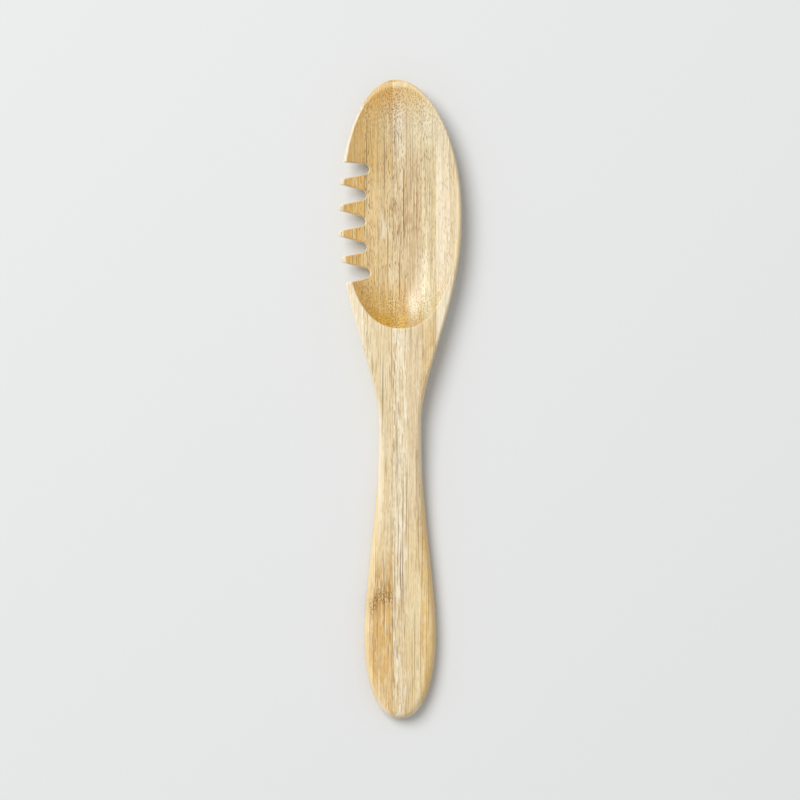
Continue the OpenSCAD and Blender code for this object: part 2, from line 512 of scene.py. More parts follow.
@dataclass(frozen=True)
class Wiring:
    """Adds nodes to a node tree and links them."""

    tree: bpy.types.NodeTree

    def add(self, kind: str, inputs: dict[str | int, object], **settings: object) -> bpy.types.Node:
        """Adds a node, sets its options and feeds its inputs.

        Args:
            kind: Type of the node.
            inputs: Values or sockets by the name or number of the input.
            settings: Options of the node.

        Returns:
            The new node.
        """
        made = self.tree.nodes.new(kind)
        for name, value in settings.items():
            setattr(made, name, value)
        for key, value in inputs.items():
            if isinstance(value, Socket):
                self.tree.links.new(value, made.inputs[key])
            else:
                made.inputs[key].default_value = value
        return made

    def math(self, operation: str, *operands: object) -> Socket:
        """Adds a sum of numbers and returns its result."""
        return self.add("ShaderNodeMath", dict(enumerate(operands)), operation=operation).outputs[0]

    def vector(self, operation: str, *operands: object) -> Socket:
        """Adds a sum of vectors and returns its result."""
        return self.add("ShaderNodeVectorMath", dict(enumerate(operands)), operation=operation).outputs[0]

    def times(self, first: object, *factors: object) -> Socket:
        """Adds the product of some numbers.

        Args:
            first: First number.
            factors: Numbers to multiply it by.

        Returns:
            The product.
        """
        product = first
        for factor in factors:
            product = self.math("MULTIPLY", product, factor)
        return product

    def rest(self, share: object) -> Socket:
        """Adds what a share leaves of the whole and returns it."""
        return self.math("SUBTRACT", 1.0, share)

    def most(self, first: object, second: object) -> Socket:
        """Adds the greater of two numbers and returns it."""
        return self.math("MAXIMUM", first, second)

    def between(self, share: object, ends: Span) -> Socket:
        """Adds the number that lies a share of the way between two and returns it."""
        return self.math("MULTIPLY_ADD", share, ends[1] - ends[0], ends[0])

    def rise(self, value: object, span: Span) -> Socket:
        """Adds a smooth rise from 0 at the start of a span to 1 at its end and returns it."""
        inputs = {"Value": value, "From Min": span[0], "From Max": span[1]}
        return self.add("ShaderNodeMapRange", inputs, interpolation_type="SMOOTHSTEP").outputs[0]

    def blend(self, share: object, first: object, second: object, mode: str = "MIX") -> Socket:
        """Adds a mix of two colours and returns it."""
        inputs = {MIX_SHARE: share, MIX_FIRST: first, MIX_SECOND: second}
        return self.add("ShaderNodeMix", inputs, data_type="RGBA", blend_type=mode).outputs[MIX_RESULT]

    def split(self, vector: object) -> bpy.types.NodeOutputs:
        """Adds the three parts of a vector and returns them."""
        return self.add("ShaderNodeSeparateXYZ", {0: vector}).outputs

    def join(self, *parts: object) -> Socket:
        """Adds a vector made of three parts and returns it."""
        return self.add("ShaderNodeCombineXYZ", dict(enumerate(parts))).outputs[0]

    def attribute(self, name: str) -> Socket:
        """Adds a number that the mesh carries at its points and returns it."""
        return self.add("ShaderNodeAttribute", {}, attribute_name=name).outputs["Fac"]

    def group(self, tree: bpy.types.NodeTree, inputs: dict[str, object]) -> bpy.types.NodeOutputs:
        """Adds a node group and returns its outputs."""
        return self.add("ShaderNodeGroup", inputs, node_tree=tree).outputs

    def millimetres(self) -> Socket:
        """Adds the place of a point on the spoon in millimetres and returns it."""
        place = self.add("ShaderNodeTexCoord", {}).outputs["Object"]
        return self.vector("MULTIPLY", place, (1 / MM, 1 / MM, 1 / MM))

    def laid_over(self, place: object, side: object) -> Socket:
        """Lays the pattern of the upper face over the flanks, so that its lines run along them too.

        Args:
            place: Place of a point.
            side: How far its face looks to the right (1) or the left (-1).

        Returns:
            The place in the pattern.
        """
        x, y, z = self.split(place)
        abreast = self.math("MULTIPLY_ADD", z, side, x)
        return self.join(abreast, y, z)


@dataclass(frozen=True)
class GroupWiring(Wiring):
    """Wiring of a node group that the strips share."""

    given: dict[str, Socket]
    sink: bpy.types.Node

    @classmethod
    def start(cls, name: str, inputs: Iterable[str], outputs: Iterable[str]) -> "GroupWiring":
        """Starts a node group.

        Args:
            name: Name of the group.
            inputs: Names of the inputs.
            outputs: Names of the outputs, each a number that changes over the surface.

        Returns:
            The wiring of the new group.
        """
        tree = bpy.data.node_groups.new(name, "ShaderNodeTree")
        for label in inputs:
            tree.interface.new_socket(label, in_out="INPUT", socket_type="NodeSocketFloat")
        for label in outputs:
            tree.interface.new_socket(label, in_out="OUTPUT", socket_type="NodeSocketFloat")
        source = tree.nodes.new("NodeGroupInput")
        sink = tree.nodes.new("NodeGroupOutput")
        return cls(tree, {label: source.outputs[label] for label in inputs}, sink)

    def finish(self, results: dict[str, Socket]) -> bpy.types.NodeTree:
        """Links results to the group's outputs.

        Args:
            results: Results by the name of the output.

        Returns:
            The finished group.
        """
        for label, result in results.items():
            self.tree.links.new(result, self.sink.inputs[label])
        return self.tree

    def strip_share(self, across: object) -> Socket:
        """Adds how far across its strip a point lies, from 0 at the left to 1, and returns it."""
        off = self.math("SUBTRACT", across, self.given["Left line"])
        return self.math("DIVIDE", off, self.given["Width"])


@dataclass(frozen=True)
class Cloud:
    """Cloudy pattern, with its scale to the millimetre on each axis."""

    scale: Triple
    detail: float = 1.0
    distortion: float = 0.0

    def add(self, w: Wiring, place: object) -> bpy.types.NodeOutputs:
        """Adds the pattern.

        Args:
            w: Wiring of the group.
            place: Place of a point in millimetres.

        Returns:
            The pattern as a number and as a colour.
        """
        vector = w.vector("MULTIPLY", place, self.scale)
        inputs = {"Vector": vector, "Scale": 1.0, "Detail": self.detail, "Distortion": self.distortion}
        return w.add("ShaderNodeTexNoise", inputs).outputs


@dataclass(frozen=True)
class Marks:
    """Scattered marks: how many to the millimetre, where each fades, and the strength of the weakest."""

    scale: Triple
    fade: Span
    least: float = 0.0

    def add(self, w: Wiring, place: object) -> Socket:
        """Adds the marks, spread over the first two axes.

        Args:
            w: Wiring of the group.
            place: Place of a point in millimetres.

        Returns:
            Strength of the marks.
        """
        inputs = {"Vector": w.vector("MULTIPLY", place, self.scale), "Scale": 1.0}
        cells = w.add("ShaderNodeTexVoronoi", inputs, feature="F1", voronoi_dimensions="2D").outputs
        spot = w.rest(w.rise(cells["Distance"], self.fade))
        own = w.add("ShaderNodeSeparateColor", {0: cells["Color"]}).outputs[0]
        return w.times(spot, w.between(own, (self.least, 1.0)))


@dataclass(frozen=True)
class FibreGrain:
    """Bundles of fibre that run along the cane: dots where they are cut across, lines where not."""

    seed_step: Triple = (17.3, 53.1, 29.7)
    drift: Cloud = Cloud((0.11, 0.021, 0.11))
    crowd_span: Span = (0.15, 0.95)
    crowd: Span = (0.65, 1.0)
    steep_cut: Span = (0.75, 1.0)
    steep_dots: Marks = Marks((1.2, 1.5, 0.0), (0.24, 0.38), 0.55)
    gentle_dots: Marks = Marks((1.2, 3.0, 0.0), (0.24, 0.38), 0.5)
    pores: Marks = Marks((1.4, 0.24, 0.0), (0.16, 0.3))
    short_lines: Marks = Marks((1.6, 0.06, 0.0), (0.16, 0.26))
    long_lines: Marks = Marks((1.1, 0.01, 0.0), (0.13, 0.27))
    pale_lines: Marks = Marks((1.4, 0.02, 0.0), (0.16, 0.28))
    pale_shift: Triple = (7.3, 41.9, 0.0)
    narrow_streaks: Cloud = Cloud((2.3, 0.02, 0.35))
    broad_streaks: Cloud = Cloud((0.24, 0.008, 0.2))
    flecks: Cloud = Cloud((1.8, 0.34, 0.0))
    streak_shares: Triple = (0.42, 0.28, 0.3)
    streak_span: Span = (0.4, 0.6)
    figure: Cloud = Cloud((0.4, 0.11, 0.3), distortion=0.8)
    figure_span: Span = (0.5, 0.66)

    def build(self) -> bpy.types.NodeTree:
        """Builds the node group.

        Returns:
            The new group.
        """
        inputs = ("Seed", "Left line", "Width", "Skin on right", "Wander", "Cut", "Side")
        outputs = ("Dots", "Pores", "Dashes", "Pale dashes", "Streaks", "Figure")
        w = GroupWiring.start("bamboo_fibres", inputs, outputs)
        place = w.millimetres()
        crowd = self._crowd(w, place)
        seed = w.given["Seed"]
        moved = w.vector("MULTIPLY_ADD", w.join(seed, seed, seed), self.seed_step, place)
        bent = self._bent(w, moved)
        lined = w.laid_over(bent, w.given["Side"])
        short = w.times(self.short_lines.add(w, lined), crowd)
        return w.finish({
            "Dots": w.times(self._dots(w, bent), crowd),
            "Pores": w.times(self.pores.add(w, lined), crowd),
            "Dashes": w.most(short, self.long_lines.add(w, lined)),
            "Pale dashes": self.pale_lines.add(w, w.vector("ADD", lined, self.pale_shift)),
            "Streaks": w.rise(self._streaks(w, lined), self.streak_span),
            "Figure": w.rise(self.figure.add(w, moved)[0], self.figure_span),
        })

    def _crowd(self, w: GroupWiring, place: Socket) -> Socket:
        """Adds how closely the fibres lie, which is closest on the skin's side of the strip.

        Args:
            w: Wiring of the group.
            place: Place of a point.

        Returns:
            Strength of the fibres.
        """
        share = w.strip_share(w.split(place)[0])
        turned = w.rest(share)
        flip = w.times(w.given["Skin on right"], w.math("SUBTRACT", share, turned))
        return w.between(w.rise(w.math("ADD", turned, flip), self.crowd_span), self.crowd)

    def _bent(self, w: GroupWiring, place: Socket) -> Socket:
        """Adds the slight wander of the fibres.

        Args:
            w: Wiring of the group.
            place: Place of a point in the strip's own pattern.

        Returns:
            The place in the bent pattern.
        """
        middle = (NOISE_MIDDLE, NOISE_MIDDLE, NOISE_MIDDLE)
        drift = w.vector("SUBTRACT", self.drift.add(w, place)["Color"], middle)
        sway = w.join(w.given["Wander"], 0.0, w.given["Wander"])
        return w.vector("MULTIPLY_ADD", drift, sway, place)

    def _dots(self, w: GroupWiring, place: Socket) -> Socket:
        """Adds the ends of the fibres, drawn out less where the cut is steep.

        Args:
            w: Wiring of the group.
            place: Place of a point in the bent pattern.

        Returns:
            Strength of the dots.
        """
        x, _, z = w.split(place)
        section = w.join(x, z, 0.0)
        steep = w.rise(w.given["Cut"], self.steep_cut)
        gentle = w.times(self.gentle_dots.add(w, section), w.rest(steep))
        return w.math("MULTIPLY_ADD", self.steep_dots.add(w, section), steep, gentle)

    def _streaks(self, w: GroupWiring, place: Socket) -> Socket:
        """Adds the light and dark streaks of the wood between the fibres.

        Args:
            w: Wiring of the group.
            place: Place of a point in the bent pattern.

        Returns:
            Strength of the streaks.
        """
        streaks = 0.0
        clouds = (self.narrow_streaks, self.broad_streaks, self.flecks)
        for cloud, share in zip(clouds, self.streak_shares):
            streaks = w.math("MULTIPLY_ADD", cloud.add(w, place)[0], share, streaks)
        return streaks


@dataclass(frozen=True)
class KnuckleStain:
    """Stain and specks of a joint of the cane that crosses a strip."""

    sway: Cloud = Cloud((0.33, 0.0, 0.33))
    sway_height: float = 9.0
    upward: float = 0.36
    fade: Span = (0.05, 1.0)
    fade_power: float = 2.0
    veins: Cloud = Cloud((1.9, 0.17, 0.6))
    vein_span: Span = (0.42, 0.62)
    specks: Marks = Marks((1.25, 0.6, 0.0), (0.16, 0.4), 1.0)
    speck_span: Span = (0.16, 0.4)

    def build(self) -> bpy.types.NodeTree:
        """Builds the node group.

        Returns:
            The new group.
        """
        inputs = ("Along", "Reach", "Seed", "Side")
        w = GroupWiring.start("cane_knuckle", inputs, ("Stain", "Specks"))
        seed = w.given["Seed"]
        place = w.laid_over(w.millimetres(), w.given["Side"])
        moved = w.vector("ADD", place, w.join(seed, seed, 0.0))
        sway = w.math("SUBTRACT", self.sway.add(w, place)[0], NOISE_MIDDLE)
        line = w.math("MULTIPLY_ADD", sway, self.sway_height, w.given["Along"])
        above = w.math("SUBTRACT", w.split(place)[1], line)
        upward = w.times(w.most(above, 0.0), self.upward)
        drawn_out = w.math("SUBTRACT", upward, w.math("MINIMUM", above, 0.0))
        band = w.rest(w.rise(w.math("DIVIDE", drawn_out, w.given["Reach"]), self.fade))
        veins = w.rise(self.veins.add(w, moved)[0], self.vein_span)
        off = w.math("DIVIDE", w.math("ABSOLUTE", above), w.given["Reach"])
        return w.finish({
            "Stain": w.times(w.math("POWER", band, self.fade_power), veins),
            "Specks": w.times(self.specks.add(w, moved), w.rest(w.rise(off, self.speck_span))),
        })


@dataclass(frozen=True)
class GlueFilm:
    """Dark film of glue that shows along both sides of a strip, stronger in some places."""

    line: Span = (0.04, 0.2)
    worn: Cloud = Cloud((0.05, 0.035, 0.2), 2.0)
    worn_span: Span = (0.42, 0.66)
    strength: Span = (0.1, 1.0)

    def build(self) -> bpy.types.NodeTree:
        """Builds the node group.

        Returns:
            The new group.
        """
        w = GroupWiring.start("glue_film", ("Left line", "Width", "Left film", "Right film"), ("Film",))
        place = w.millimetres()
        across = w.split(place)[0]
        right_line = w.math("ADD", w.given["Left line"], w.given["Width"])
        left = self._side(w, across, w.given["Left line"], w.given["Left film"])
        right = self._side(w, across, right_line, w.given["Right film"])
        worn = w.between(w.rise(self.worn.add(w, place)[0], self.worn_span), self.strength)
        return w.finish({"Film": w.times(w.most(left, right), worn)})

    def _side(self, w: GroupWiring, across: Socket, line: Socket, strength: Socket) -> Socket:
        """Adds the film at one glue line and returns it."""
        off = w.math("ABSOLUTE", w.math("SUBTRACT", across, line))
        return w.times(w.rest(w.rise(off, self.line)), strength)


@dataclass(frozen=True)
class FaceTurn:
    """Which way a face looks: along the fibres, up, and to the right (1) or the left (-1)."""

    end_grain: Span = (0.05, 0.55)
    up: Span = (-0.05, 0.3)
    side: Span = (0.65, 0.95)

    def build(self) -> bpy.types.NodeTree:
        """Builds the node group.

        Returns:
            The new group.
        """
        w = GroupWiring.start("facing", (), ("End grain", "Up", "Side"))
        x, y, z = w.split(w.add("ShaderNodeTexCoord", {}).outputs["Normal"])
        to_left = w.rise(x, (-self.side[0], -self.side[1]))
        return w.finish({
            "End grain": w.rise(w.math("ABSOLUTE", y), self.end_grain),
            "Up": w.rise(z, self.up),
            "Side": w.math("SUBTRACT", w.rise(x, self.side), to_left),
        })


@dataclass(frozen=True)
class PaleAndHighlightPatchGroup:
    """Pale area in the middle of a strip, which fades out along and across it; some are paler wood, some
    painted highlights.
    """

    ends: Span = (0.2, 1.0)
    sides: Span = (0.15, 0.5)
    strip_middle: float = 0.5
    cloud: Cloud = Cloud((0.6, 0.1, 0.0))
    cloud_span: Span = (0.25, 0.55)

    def build(self) -> bpy.types.NodeTree:
        """Builds the node group.

        Returns:
            The new group.
        """
        w = GroupWiring.start("pale_patch", ("Left line", "Width", "Along", "Reach"), ("Patch",))
        place = w.millimetres()
        across, along, _ = w.split(place)
        off_along = w.math("ABSOLUTE", w.math("SUBTRACT", along, w.given["Along"]))
        ends = w.rest(w.rise(w.math("DIVIDE", off_along, w.given["Reach"]), self.ends))
        off_middle = w.math("ABSOLUTE", w.math("SUBTRACT", w.strip_share(across), self.strip_middle))
        sides = w.rest(w.rise(off_middle, self.sides))
        cloud = w.rise(self.cloud.add(w, place)[0], self.cloud_span)
        return w.finish({"Patch": w.times(ends, sides, cloud)})


class GrainGroups:
    """Node groups that every strip of bamboo shares."""

    def __init__(self) -> None:
        """Builds each group once."""
        self.fibres = FibreGrain().build()
        self.knuckle = KnuckleStain().build()
        self.glue = GlueFilm().build()
        self.face_turn = FaceTurn().build()
        self.pale_and_highlight_patch = PaleAndHighlightPatchGroup().build()


class Slot(Enum):
    """Material slots of the record, which each finish lists."""

    HONEY = "bamboo_honey"
    TAN = "bamboo_tan"
    CREAM = "bamboo_cream"
    PALE = "bamboo_pale"


class Skin(Enum):
    """Side of a strip that lay nearest the skin of the cane."""

    LEFT = 0.0
    RIGHT = 1.0


@dataclass(frozen=True)
class Knuckle:
    """Mark that a joint of the cane leaves across a strip."""

    along: float
    reach: float = 9 * MM
    stain: float = 0.7
    specks: float = 0.8


@dataclass(frozen=True)
class Patch:
    """Paler area of a strip: paler wood in some places and a painted highlight in others."""

    along: float
    reach: float
    strength: float


@dataclass(frozen=True)
class Stretch:
    """Stretch of the spoon's length over which a tone comes in."""

    start: float
    end: float

    def share(self, w: Wiring, along: object) -> Socket:
        """Adds the tone's share and returns it."""
        return w.rise(along, (self.start / MM, self.end / MM))


@dataclass(frozen=True)
class GrainShares:
    """How strongly the tones and marks of the grain show.

    A pair gives the strength away from a place and at it. The place is the hollow for the ripe tone, the
    lines and the pores, the hollow or the tip for the dots, the very tip for the tip lines, and end grain
    for the cut lines. The pairs dot_cut and line_cut say instead how squarely the fibres are cut where
    the dots come in and the lines weaken.
    """

    bare_tip: float = 0.7
    heel: float = 0.6
    ripe: Span = (0.8, 1.0)
    lines: Span = (0.9, 1.0)
    pores: Span = (0.4, 0.9)
    tip_lines: Span = (1.0, 0.4)
    dots: Span = (0.4, 1.0)
    dot_cut: Span = (0.0, 0.3)
    cut_lines: Span = (1.0, 0.2)
    line_cut: Span = (0.05, 0.4)


@dataclass(frozen=True)
class OiledSurface:
    """Gloss and relief of the oiled wood, with its roughness along the fibres and on end grain."""

    roughness: Span = (0.46, 0.54)
    mark_gloss: float = 0.1
    wear_gloss: float = 0.21
    relief: float = 0.2
    relief_depth: float = 0.05 * MM
    ior: float = 1.48


@dataclass(frozen=True)
class BambooFinish:
    """Oiled satin finish of one strip, with its own tones and grain."""

    name: str
    slot: Slot
    ground: str
    deep: str
    seed: float
    skin: Skin = Skin.LEFT
    handle_ground: str | None = None
    handle_deep: str | None = None
    # Tone of the hollow, the carving's own and painted shade, warmest on the left wall that faces away from
    # the lamp
    carved_and_shaded: str = "#f3e9db"
    dots: float = 0.75
    dashes: float = 0.8
    sheen: float = 0.7
    # Share of painted light that pales the tip of the hollow, which faces away from the lamp
    tip_painted_light: float = 0.0
    upper_tone: float = 0.0
    wander: float = 0.6 * MM
    figure: float = 0.2
    left_film: float = 0.25
    right_film: float = 0.25
    knuckles: tuple[Knuckle, ...] = ()
    pale_and_highlight_patches: tuple[Patch, ...] = ()
    fibre: str = "#70491f"
    light: str = "#f8efd6"
    # Edge tone, part polishing and part painted light: a highlight on lit left edges, shade on right ones
    edge: str = "#f4e2bd"
    edge_polish_and_light: float = 0.5
    edge_falloff: float = 2.0
    stain: str = "#9c6a0c"
    speck: str = "#4c340a"
    film: str = "#86622f"
    # Tone of cut fibre ends; near white on the right strips, partly a painted highlight where the heel
    # faces the lamp
    cut_end_and_highlight: str = "#ffe6a4"
    tip_tone: str = "#fcebca"
    head: Stretch = Stretch(-76 * MM, -34 * MM)
    heel: Stretch = Stretch(62 * MM, 46 * MM)
    upper: Stretch = Stretch(98 * MM, 114 * MM)
    tip: Stretch = Stretch(104 * MM, 130 * MM)
    tip_end: Stretch = Stretch(130 * MM, 147 * MM)
    shares: GrainShares = GrainShares()
    surface: OiledSurface = OiledSurface()

    def material(self, groups: GrainGroups, left: float, width: float) -> bpy.types.Material:
        """Builds the strip's material.

        Args:
            groups: Node groups that the strips share.
            left: Left glue line of the strip.
            width: Distance between the strip's glue lines.

        Returns:
            The new material.
        """
        made = bpy.data.materials.new(self.name)
        made.use_nodes = True
        made.node_tree.nodes.clear()
        lines = {"Left line": left / MM, "Width": width / MM}
        StripShading(Wiring(made.node_tree), self, groups, lines).build()
        return made


@dataclass
class StripShading:
    """Shading of one strip: what varies over its faces, and the tones and marks laid on in turn."""

    w: Wiring
    finish: BambooFinish
    groups: GrainGroups
    lines: dict[str, float]

    @cached_property
    def along(self) -> Socket:
        """Place along the spoon in millimetres."""
        return self.w.split(self.w.millimetres())[1]

    @cached_property
    def turn(self) -> bpy.types.NodeOutputs:
        """Which way a face looks."""
        return self.w.group(self.groups.face_turn, {})

    @cached_property
    def hollow(self) -> Socket:
        """How surely a point lies in the hollow, on faces that look up."""
        return self.w.times(self.w.attribute("hollow"), self.turn["Up"])

    @cached_property
    def edge(self) -> Socket:
        """How near an outer edge a point is, on faces that look up, for its wear and its painted light."""
        worn = self.w.math("POWER", self.w.attribute("arris"), self.finish.edge_falloff)
        return self.w.times(worn, self.turn["Up"])

    @cached_property
    def tip(self) -> Socket:
        """How near a point is to the tip."""
        return self.finish.tip.share(self.w, self.along)

    @cached_property
    def tip_end(self) -> Socket:
        """How near a point is to the very end of the tip."""
        return self.finish.tip_end.share(self.w, self.along)

    @cached_property
    def level(self) -> Socket:
        """Strength of lines, which weaken where the fibres are cut across."""
        shares = self.finish.shares
        return self.w.between(self.w.rise(self.turn["End grain"], shares.line_cut), shares.cut_lines)

    @cached_property
    def fibres(self) -> bpy.types.NodeOutputs:
        """Fibres and streaks of the strip.

        Returns:
            The outputs of its fibre group.
        """
        finish = self.finish
        grain = {
            "Seed": finish.seed,
            "Skin on right": finish.skin.value,
            "Wander": finish.wander / MM,
            "Cut": self.turn["End grain"],
            "Side": self.turn["Side"],
        }
        return self.w.group(self.groups.fibres, self.lines | grain)

    @cached_property
    def marks(self) -> Socket:
        """Dark marks of the fibres.

        Returns:
            Strength of the lines and dots.
        """
        w, finish, shares = self.w, self.finish, self.finish.shares
        lines = w.times(self.fibres["Dashes"], w.between(self.hollow, shares.lines))
        pores = w.times(self.fibres["Pores"], w.between(self.hollow, shares.pores))
        lines = w.times(w.most(lines, pores), w.between(self.tip_end, shares.tip_lines))
        dashes = w.times(lines, self.level, finish.dashes)
        bared = w.between(w.most(self.hollow, self.tip), shares.dots)
        across = w.rise(self.turn["End grain"], shares.dot_cut)
        return w.most(dashes, w.times(self.fibres["Dots"], across, bared, finish.dots))

    def _ground(self) -> Socket:
        """Lays the strip's ground tones, in its head and in its handle, and its figure.

        Returns:
            The colour so far.
        """
        w, finish, streaks = self.w, self.finish, self.fibres["Streaks"]
        colour = w.blend(streaks, linear(finish.deep), linear(finish.ground))
        if finish.handle_ground and finish.handle_deep:
            handle = w.blend(streaks, linear(finish.handle_deep), linear(finish.handle_ground))
            colour = w.blend(finish.head.share(w, self.along), handle, colour)
        return w.blend(w.times(self.fibres["Figure"], finish.figure), colour, linear(finish.light))

    def _toned(self, colour: Socket) -> Socket:
        """Tones the hollow, partly with painted shade, the cut ends at its heel and its upper end, and the
        tip with painted light.

        Args:
            colour: The colour so far.

        Returns:
            The colour with the tones.
        """
        w, finish, shares = self.w, self.finish, self.finish.shares
        # The hollow's tone: the carving's own, and painted shade of the bowl
        colour = w.blend(self.hollow, colour, linear(finish.carved_and_shaded), "MULTIPLY")
        # Cut fibre ends; on the right strips their pale tone is partly a painted highlight
        bare_tip = w.times(self.tip, shares.bare_tip, self.turn["Up"])
        cut = w.times(self.turn["End grain"], w.most(self.hollow, bare_tip))
        heel = w.times(finish.heel.share(w, self.along), self.hollow, shares.heel)
        upper = w.times(finish.upper.share(w, self.along), self.hollow, finish.upper_tone)
        colour = w.blend(w.most(cut, w.most(heel, upper)), colour, linear(finish.cut_end_and_highlight), "MULTIPLY")
        # Painted light: the tip of the hollow, facing away from the lamp, is made paler as if lit
        colour = w.blend(w.times(self.tip, finish.tip_painted_light), colour, linear(finish.light))
        ripe = w.times(self.tip_end, self.turn["Up"], w.between(self.hollow, shares.ripe))
        return w.blend(ripe, colour, linear(finish.tip_tone), "MULTIPLY")

    def _pale_and_highlight_patched(self, colour: Socket) -> Socket:
        """Lays the strip's pale areas, some of them paler wood and some painted highlights.

        Args:
            colour: The colour so far.

        Returns:
            The colour with the pale areas.
        """
        # Some of these pale areas are paler wood, and some are painted highlights of the lamp
        for mark in self.finish.pale_and_highlight_patches:
            place = {"Along": mark.along / MM, "Reach": mark.reach / MM}
            pale_and_highlight_patch = self.w.group(self.groups.pale_and_highlight_patch, self.lines | place)["Patch"]
            colour = self.w.blend(self.w.times(pale_and_highlight_patch, mark.strength), colour, linear(self.finish.light))
        return colour

    def _grained(self, colour: Socket) -> Socket:
        """Lays the pale lines between the fibres, and then the fibres.

        Args:
            colour: The colour so far.

        Returns:
            The colour with the lines and dots.
        """
        w, finish = self.w, self.finish
        pale = w.times(self.fibres["Pale dashes"], self.level, finish.sheen)
        colour = w.blend(pale, colour, linear(finish.light))
        return w.blend(self.marks, colour, linear(finish.fibre))

    def _knuckled(self, colour: Socket) -> Socket:
        """Lays the strip's knuckles.

        Args:
            colour: The colour so far.

        Returns:
            The colour with the stains and specks.
        """
        w, finish = self.w, self.finish
        for number, mark in enumerate(finish.knuckles):
            place = {"Along": mark.along / MM, "Reach": mark.reach / MM}
            pattern = {"Seed": finish.seed + number, "Side": self.turn["Side"]}
            knuckle = w.group(self.groups.knuckle, place | pattern)
            colour = w.blend(w.times(knuckle["Stain"], mark.stain), colour, linear(finish.stain))
            colour = w.blend(w.times(knuckle["Specks"], mark.specks), colour, linear(finish.speck))
        return colour

    def _glued(self, colour: Socket) -> Socket:
        """Lays the films of glue, and over them the edge tone: painted highlight and shade, with some
        polishing.

        Args:
            colour: The colour so far.

        Returns:
            The finished colour.
        """
        w, finish = self.w, self.finish
        films = {"Left film": finish.left_film, "Right film": finish.right_film}
        film = w.group(self.groups.glue, self.lines | films)["Film"]
        colour = w.blend(film, colour, linear(finish.film))
        # Edge tone: painted highlight on edges facing the lamp, painted shade on the others, some polishing
        return w.blend(w.times(self.edge, finish.edge_polish_and_light), colour, linear(finish.edge))

    def build(self) -> None:
        """Wires the colour, the gloss and the relief to the strip's shader."""
        w, surface = self.w, self.finish.surface
        colour = self._ground()
        for lay in (self._toned, self._pale_and_highlight_patched, self._grained, self._knuckled, self._glued):
            colour = lay(colour)
        plain = w.between(self.turn["End grain"], surface.roughness)
        marked = w.math("MULTIPLY_ADD", self.marks, -surface.mark_gloss, plain)
        worn = w.times(w.most(self.edge, self.hollow), surface.wear_gloss)
        height = w.math("SUBTRACT", self.fibres["Streaks"], self.marks)
        relief = {"Height": height, "Strength": surface.relief, "Distance": surface.relief_depth}
        shader = w.add(
            "ShaderNodeBsdfPrincipled",
            {
                "Base Color": colour,
                "Roughness": w.math("SUBTRACT", marked, worn),
                "Normal": w.add("ShaderNodeBump", relief).outputs[0],
                "IOR": surface.ior,
            },
        )
        w.add("ShaderNodeOutputMaterial", {0: shader.outputs[0]})


@dataclass(frozen=True)
class Cut:
    """Plan of one piece of a strip: the curves that bound it below, above, left and right."""

    low: Curve
    high: Curve
    left: Curve
    right: Curve
    passes: int = 4

    def place(self, across: Array, along: Array, start_x: float, end_x: float) -> tuple[Array, Array]:
        """Places the points of a grid inside the piece's bounds.

        Args:
            across: Shares of the way from left to right.
            along: Shares of the way from below to above.
            start_x: Left end of the piece.
            end_x: Right end of the piece.

        Returns:
            Places across and along the spoon.
        """
        x = mix(start_x, end_x, across)
        for _ in range(self.passes):
            y = mix(self.low(x), self.high(x), along)
            x = mix(self.left(y), self.right(y), across)
        return x, y


